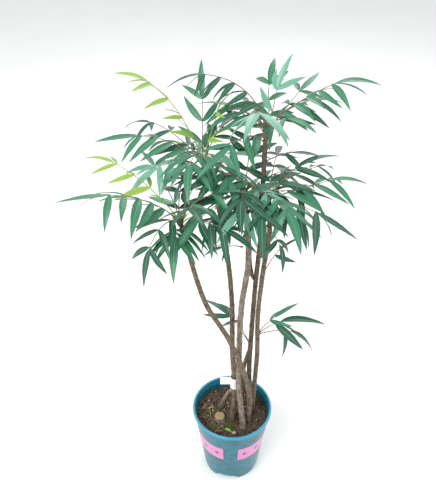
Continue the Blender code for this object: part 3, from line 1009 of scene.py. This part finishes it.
@dataclass
class Ground:
    """The compost in the pot: lumps, perlite, a pebble, moss, scraps of leaf and straw, and a cut stump."""

    radius: float = 0.0915
    seed: int = 8
    rings: int = 70
    spokes: int = 220
    crumbs: int = 900
    perlite_specks: int = 46
    moss_tufts: int = 170
    moss_spots: tuple[tuple[float, float], ...] = ((-0.050, 0.005), (-0.012, -0.036), (-0.045, -0.045))
    straws: int = 16
    straw_reach: float = 0.088
    stump_centre: tuple[float, float] = (-0.032, -0.019)
    stump_foot: float = 0.0150
    stump_taper: float = 0.0025
    stump_top: float = 0.1950
    stump_sides: int = 40

    def surface(self, compost: Material) -> bpy.types.Object:
        """Makes the rough disc of compost.

        Args:
            compost: its material.

        Returns:
            The disc.
        """
        kit = MeshKit()
        radii = np.linspace(0.0005, self.radius, self.rings)
        angle = np.linspace(0, 2 * np.pi, self.spokes, endpoint=False)
        points = np.zeros((self.rings, self.spokes, 3))
        for row, radius in enumerate(radii):
            for lane, turn in enumerate(angle):
                x, y = radius * math.cos(turn), radius * math.sin(turn)
                # Hummocks of about 22 mm, lumps of 7 mm and crumbs of 2 mm
                rough = noise.noise(Vector((x * 45, y * 45, 2.0))) * 0.0035
                rough += noise.noise(Vector((x * 150, y * 150, 5.0))) * 0.0022
                rough += noise.noise(Vector((x * 420, y * 420, 9.0))) * 0.0010
                points[row, lane] = (x, y, SOIL_TOP - 0.0005 + rough - 0.002 * (radius / self.radius) ** 6)
        faces = ring_faces(self.rings, self.spokes)[:, TURNED]
        kit.add(points.reshape(-1, 3), faces, np.zeros(len(faces), int))
        return kit.piece("compost_surface", [compost])

    def ball(self) -> tuple[np.ndarray, np.ndarray]:
        """Makes a coarse unit ball.

        Returns:
            Its points, and its quads as corner numbers.
        """
        stacks, slices = 5, 8
        theta = np.linspace(0.02, math.pi - 0.02, stacks)
        phi = np.linspace(0, 2 * math.pi, slices, endpoint=False)
        points = np.stack(
            [
                np.sin(theta)[:, None] * np.cos(phi)[None, :],
                np.sin(theta)[:, None] * np.sin(phi)[None, :],
                np.cos(theta)[:, None] * np.ones(slices)[None, :],
            ],
            axis=2,
        ).reshape(-1, 3)
        return points, ring_faces(stacks, slices)[:, TURNED]

    def spot(self, kind: Grain, rng: random.Random) -> tuple[float, float, float]:
        """Draws a place and a size for one lump.

        Args:
            kind: what it is.
            rng: the seeded source.

        Returns:
            Its x, its y and its size.
        """
        if kind is Grain.MOSS:
            middle = rng.choice(self.moss_spots)
            x = middle[0] + rng.gauss(0, 0.009)
            y = middle[1] + rng.gauss(0, 0.009)
            return x, y, rng.uniform(0.0010, 0.0024)
        reach = self.radius * 0.965 * math.sqrt(rng.random())
        turn = rng.uniform(0, 2 * math.pi)
        size = rng.uniform(0.0009, 0.0032 if kind is Grain.COMPOST else 0.0019)
        return reach * math.cos(turn), reach * math.sin(turn), size

    def lumps(self, finishes: list[Material]) -> bpy.types.Object:
        """Scatters crumbs, perlite and moss over the surface, and lays one pebble.

        Args:
            finishes: compost, perlite, moss and pebble materials.

        Returns:
            The joined scatter.
        """
        rng = random.Random(self.seed)
        kit = MeshKit()
        ball, faces = self.ball()
        kinds = [Grain.COMPOST] * self.crumbs
        kinds += [Grain.PERLITE] * self.perlite_specks + [Grain.MOSS] * self.moss_tufts
        for kind in kinds:
            x, y, size = self.spot(kind, rng)
            if math.hypot(x, y) > self.radius * 0.97:
                continue
            stretch = np.array([rng.uniform(0.6, 1.5), rng.uniform(0.6, 1.5), rng.uniform(0.5, 1.0)])
            jag = np.array([rng.uniform(0.78, 1.2) for _ in range(len(ball))])[:, None]
            lump = ball * jag * stretch * size + np.array([x, y, SOIL_TOP + size * 0.25])
            kit.add(lump, faces, np.full(len(faces), kind.value))
        pebble = ball * np.array([0.0060, 0.0042, 0.0034]) + np.array([0.004, -0.062, SOIL_TOP + 0.0015])
        kit.add(pebble, faces, np.full(len(faces), Grain.PEBBLE.value))
        return kit.piece("compost_crumbs", finishes)

    def litter(self, finishes: list[Material]) -> bpy.types.Object:
        """Lays dry straw by the left of the rim, and one green scrap of leaf on the compost.

        Args:
            finishes: straw and green leaf materials.

        Returns:
            The joined litter.
        """
        rng = random.Random(self.seed + 3)
        kit = MeshKit()
        for _ in range(self.straws):
            turn = math.radians(rng.uniform(150, 235))
            reach = rng.uniform(0.055, 0.078)
            begin = np.array([reach * math.cos(turn), reach * math.sin(turn), SOIL_TOP + 0.003])
            heading = rng.uniform(0, math.pi * 2)
            ahead = np.array([math.cos(heading), math.sin(heading), rng.uniform(-0.05, 0.25)])
            end = begin + ahead * rng.uniform(0.008, 0.020)
            reach_end = math.hypot(end[0], end[1])
            if reach_end > self.straw_reach:
                end[:2] *= self.straw_reach / reach_end
            path = np.linspace(begin, end, 5)
            path[:, 2] += np.sin(np.linspace(0, math.pi, 5)) * 0.002
            tube(kit, path, np.full(5, rng.uniform(0.0003, 0.0007)), 5, 0)
        s = np.linspace(0, 1, 9)
        width = 0.0038 * np.sin(math.pi * s**0.8)
        lanes = np.array([-1.0, 0.0, 1.0])
        height = SOIL_TOP + 0.004 + 0.005 * np.sin(math.pi * s)
        line = np.stack([-0.020 + 0.020 * s, -0.052 - 0.012 * s, height], axis=1)
        side = np.array([0.5, 0.86, 0.1])
        scrap = line[:, None, :] + (width[:, None] * lanes[None, :])[:, :, None] * side
        faces = grid_faces(len(s), len(lanes))
        kit.add(scrap.reshape(-1, 3), faces, np.full(len(faces), 1))
        return kit.piece("compost_litter", finishes)

    def stump(self, bark: Material, cut: Material) -> bpy.types.Object:
        """Makes the stump of a stem that was sawn off just above the compost.

        Args:
            bark: material of its side.
            cut: material of its sawn face.

        Returns:
            The stump.
        """
        kit = MeshKit()
        angle = np.linspace(0, 2 * np.pi, self.stump_sides, endpoint=False)
        heights = np.linspace(SOIL_TOP - 0.003, self.stump_top, 12)
        rows = []
        for height in heights:
            share = (height - heights[0]) / (heights[-1] - heights[0])
            radius = self.stump_foot - self.stump_taper * share
            around = radius + round_noise(angle, height, 4, 90) * 0.0013
            x = self.stump_centre[0] + around * np.cos(angle)
            y = self.stump_centre[1] + around * np.sin(angle)
            rows.append(np.stack([x, y, np.full(self.stump_sides, height)], axis=1))
        top = rows[-1]
        centre = top.mean(axis=0)
        for share in (0.92, 0.6, 0.3, 0.02):
            ring = centre + (top - centre) * share
            ring[:, 2] = heights[-1] + 0.0004 * (1 - share)
            rows.append(ring)
        faces = ring_faces(len(rows), self.stump_sides)
        slots = (np.arange(len(faces)) >= (len(heights) - 1) * self.stump_sides).astype(int)
        kit.add(np.concatenate(rows), faces, slots)
        return kit.piece("stump_bark", [bark, cut])

    def build(self) -> None:
        """Makes everything that lies in the pot."""
        compost = SOIL_FINISH.dress()
        perlite = Mottled("perlite", 0.9, 1.5, "d9d4c8", "f2efe6", 1.5, 0.3).dress()
        moss = Mottled("moss", 0.95, 1.4, "33451d", "687c38", 2.0, 0.5, specular=0.2).dress()
        pebble = Mottled("pebble", 0.7, 1.5, "a79c8f", "c9c0b4", 2.5, 0.2).dress()
        straw = Mottled("dry_straw", 0.7, 1.45, "a9885a", "d8bd8c", 4.0, 0.2).dress()
        scrap = LeafCuticle("fresh_leaf_scrap", 0.45, 1.42, "6fae3c", 0.1).dress()
        cut = Mottled("sawn_wood", 0.75, 1.45, "7d6848", "b79f76", 3.0, 0.2).dress()
        bark = PALE_BARK_FINISH.dress()
        surface = self.surface(compost)
        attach(surface, "root")
        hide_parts("soil")
        crumbs = self.lumps([compost, perlite, moss, pebble])
        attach(crumbs, "root")
        litter = self.litter([straw, scrap])
        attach(litter, "root")
        stump = self.stump(bark, cut)
        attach(stump, "root")
        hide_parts("cut_stump")
        LOG.info("compost: surface, crumbs, litter and stump")


@dataclass
class NurseryPot:
    """The teal pot and the blank tie-on label, both kept from the frame."""

    pot: bpy.types.Object
    label: bpy.types.Object

    def dress(self) -> None:
        """Gives the pot and the label their materials."""
        plastic = MouldedPolypropylene("teal_polypropylene", 0.30, 1.49).dress()
        film = Mottled("label_film", 0.5, 1.49, "e9e9e6", "f6f6f3", 9.0, 0.05).dress()
        for node, finish in ((self.pot, plastic), (self.label, film)):
            node.data.materials.clear()
            node.data.materials.append(finish)
            LOG.info("%s: dressed", node.name)


@dataclass
class Studio:
    """A pale plain floor, soft lights and the camera at the photograph's angle.

    Each light has a name, a place, its watts and its width.
    """

    lights: tuple[tuple[str, tuple[float, float, float], float, float], ...] = (
        ("key_light", (-1.6, -1.8, 3.0), 80.0, 2.2),
        ("fill_light", (2.4, -1.2, 2.0), 26.0, 2.6),
        ("back_light", (0.4, 2.6, 2.6), 30.0, 2.0),
    )
    aim: tuple[float, float, float] = (0.0, 0.0, 0.6)

    def lay_floor(self) -> None:
        """Makes the floor."""
        bpy.ops.mesh.primitive_plane_add(size=30, location=(0, 0, -0.0005))
        floor = bpy.context.object
        floor.name = "studio_floor"
        paper = Mottled("pale_paper", 0.9, 1.45, "f2f2f0", "f6f6f4", 400.0, 0.01)
        floor.data.materials.append(paper.dress())

    def hang_lights(self) -> None:
        """Makes the soft lights and the pale air round them."""
        for name, place, energy, size in self.lights:
            lamp = bpy.data.lights.new(name, "AREA")
            lamp.energy = energy
            lamp.size = size
            light = bpy.data.objects.new(name, lamp)
            light.location = place
            light.rotation_euler = (Vector(self.aim) - Vector(place)).to_track_quat("-Z", "Y").to_euler()
            bpy.context.scene.collection.objects.link(light)
        world = bpy.data.worlds.new("studio_air")
        world.use_nodes = True
        backdrop = world.node_tree.nodes["Background"]
        backdrop.inputs[0].default_value = linear("f6f8fa")
        backdrop.inputs[1].default_value = 0.9
        bpy.context.scene.world = world

    def place_camera(self) -> None:
        """Sets the camera where the photograph was taken from."""
        lens = bpy.data.cameras.new("eye_level_camera")
        lens.lens = CAMERA_LENS_MM
        lens.dof.use_dof = False
        eye = bpy.data.objects.new("eye_level_camera", lens)
        eye.location = CAMERA_EYE
        eye.rotation_euler = (math.radians(90 - CAMERA_PITCH_DOWN), 0, 0)
        bpy.context.scene.collection.objects.link(eye)
        bpy.context.scene.camera = eye

    def build(self) -> None:
        """Makes the floor, the lights, the backdrop colour and the camera."""
        self.lay_floor()
        self.hang_lights()
        self.place_camera()
        bpy.context.scene.view_settings.view_transform = "Standard"


# Each leaf: its bearing, stalk length, climb at the hub and at the tip, pairs, leaflet length and tone,
# then, where they differ, how far the leaflets hang and how far below the hub the stalk starts
ROSETTES = (
    Foliage(
        "left", ("mass_left",), HUB_LEFT,
        (
            (-149, 0.172, 57, 17, 5, 0.080, Tone.MID),
            (122, 0.122, 56, 21, 3, 0.066, Tone.AQUA),
            (165, 0.165, 59, 24, 4, 0.062, Tone.YOUNG),
            (-125, 0.125, 50, -60, 3, 0.072, Tone.DARK),
            (9, 0.089, 69, 14, 2, 0.066, Tone.MID),
            (-70, 0.10, 66, 30, 2, 0.078, Tone.DARK),
            (60, 0.08, 60, 25, 2, 0.070, Tone.DARK),
        ),
        seed=11, fillers=3, filler_length=0.11,
    ),
    Foliage(
        "upper_left", ("mass_upper_left", "frond_arch_left"), HUB_UPPER_LEFT,
        (
            (178, 0.190, 76, 41, 4, 0.060, Tone.YOUNG),
            (180, 0.136, 44, 4, 4, 0.080, Tone.MID),
            (95, 0.126, 85, 75, 3, 0.066, Tone.MID),
            (116, 0.150, 28, -17, 4, 0.066, Tone.AQUA),
            (-20, 0.110, 75, 75, 2, 0.055, Tone.YOUNG),
            (150, 0.14, 45, 0, 3, 0.076, Tone.DARK),
            (60, 0.12, 50, 10, 3, 0.076, Tone.DARK),
            (-10, 0.05, 40, 10, 1, 0.085, Tone.AQUA),
        ),
        seed=23, fillers=3,
    ),
    Foliage(
        "top", ("mass_top", "frond_arch_top", "frond_tall_right"), HUB_TOP,
        (
            (82, 0.095, 32, 52, 3, 0.066, Tone.MID),
            (55, 0.077, 57, 67, 2, 0.066, Tone.AQUA),
            (-14, 0.155, 51, 31, 5, 0.078, Tone.MID),
            (45, 0.110, 26, 26, 3, 0.070, Tone.MID),
            (-165, 0.184, 79, 9, 5, 0.060, Tone.DARK, 40),
            (-101, 0.165, 49, 19, 3, 0.086, Tone.AQUA),
            (115, 0.12, 40, 0, 3, 0.076, Tone.DARK),
            (165, 0.08, 45, 15, 2, 0.070, Tone.MID),
            (-55, 0.07, 55, 20, 2, 0.078, Tone.MID),
            (-20, 0.06, 40, 20, 1, 0.060, Tone.DARK, 18, 0.07),
        ),
        seed=37, fillers=3,
    ),
    Foliage(
        "centre", ("mass_centre", "frond_low_left", "spray_middle"), HUB_CENTRE,
        (
            (80, 0.14, 62, 25, 4, 0.074, Tone.DARK),
            (-130, 0.136, 20, -20, 4, 0.078, Tone.MID),
            (-95, 0.10, 45, 0, 3, 0.084, Tone.DARK),
            (130, 0.12, 40, 0, 3, 0.078, Tone.MID),
            (180, 0.07, 45, 10, 2, 0.078, Tone.DARK),
            (-150, 0.07, 15, -30, 2, 0.060, Tone.DARK, 18, 0.045),
            (-165, 0.04, 25, 0, 1, 0.045, Tone.MID, 18, 0.135),
        ),
        seed=41, fillers=4,
    ),
    Foliage(
        "right", ("mass_right", "frond_low_front", "frond_low_right"), HUB_RIGHT,
        (
            (44, 0.150, 22, -12, 4, 0.078, Tone.DARK),
            (9, 0.137, 12, 12, 4, 0.078, Tone.MID),
            (-36, 0.106, 11, -5, 3, 0.088, Tone.DARK, 35),
            (-75, 0.10, 40, -5, 3, 0.084, Tone.MID),
            (78, 0.11, 40, 5, 3, 0.078, Tone.DARK),
            (10, 0.08, 60, 40, 2, 0.080, Tone.DARK),
            (-60, 0.05, 5, -50, 1, 0.060, Tone.DARK, 18, 0.067),
            (0, 0.07, 8, -30, 2, 0.066, Tone.DARK, 18, 0.040),
        ),
        seed=53, fillers=4,
    ),
    Foliage(
        "low_right", ("spray_right", "spray_right_small"), (0.055, 0.006, 0.458),
        (
            (-3, 0.068, 52, 30, 1, 0.098, Tone.DARK, 55),
            (14, 0.060, 60, 40, 1, 0.062, Tone.MID),
            (2, 0.080, 30, -20, 1, 0.075, Tone.DARK, 50),
        ),
        seed=61,
    ),
    Foliage(
        "low_left", ("spray_left",), (0.042, 0.027, 0.402),
        (
            (150, 0.090, 58, 40, 2, 0.078, Tone.DARK, 30),
            (125, 0.080, 50, 10, 1, 0.070, Tone.DARK, 30),
        ),
        seed=67,
    ),
    Foliage(
        "low_twig", ("spray_twig_right",), (0.059, 0.003, 0.635),
        ((-8, 0.080, 74, 60, 1, 0.062, Tone.DARK, 60),),
        seed=71,
    ),
)


def main() -> None:
    """Builds the looks around the frame, in order."""
    logging.basicConfig(level=logging.INFO, format="%(message)s")
    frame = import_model()
    leaf_finishes = [finish.dress() for finish in LEAF_FINISHES]
    stalk_finishes = [STALK_FINISH.dress(), YOUNG_STALK_FINISH.dress()]
    bark = BARK_FINISH.dress()
    pale = PALE_BARK_FINISH.dress()
    scar = SCAR_FINISH.dress()
    NurseryPot(frame["nodes"]["pot"], frame["nodes"]["stem_label"]).dress()
    Ground().build()
    for form in STEM_FORMS:
        BarkStem(form).build(pale if form.pale else bark, scar)
    for rosette in ROSETTES:
        rosette.build(leaf_finishes, stalk_finishes)
    Studio().build()
    bpy.context.view_layer.update()


if __name__ == "__main__":
    main()
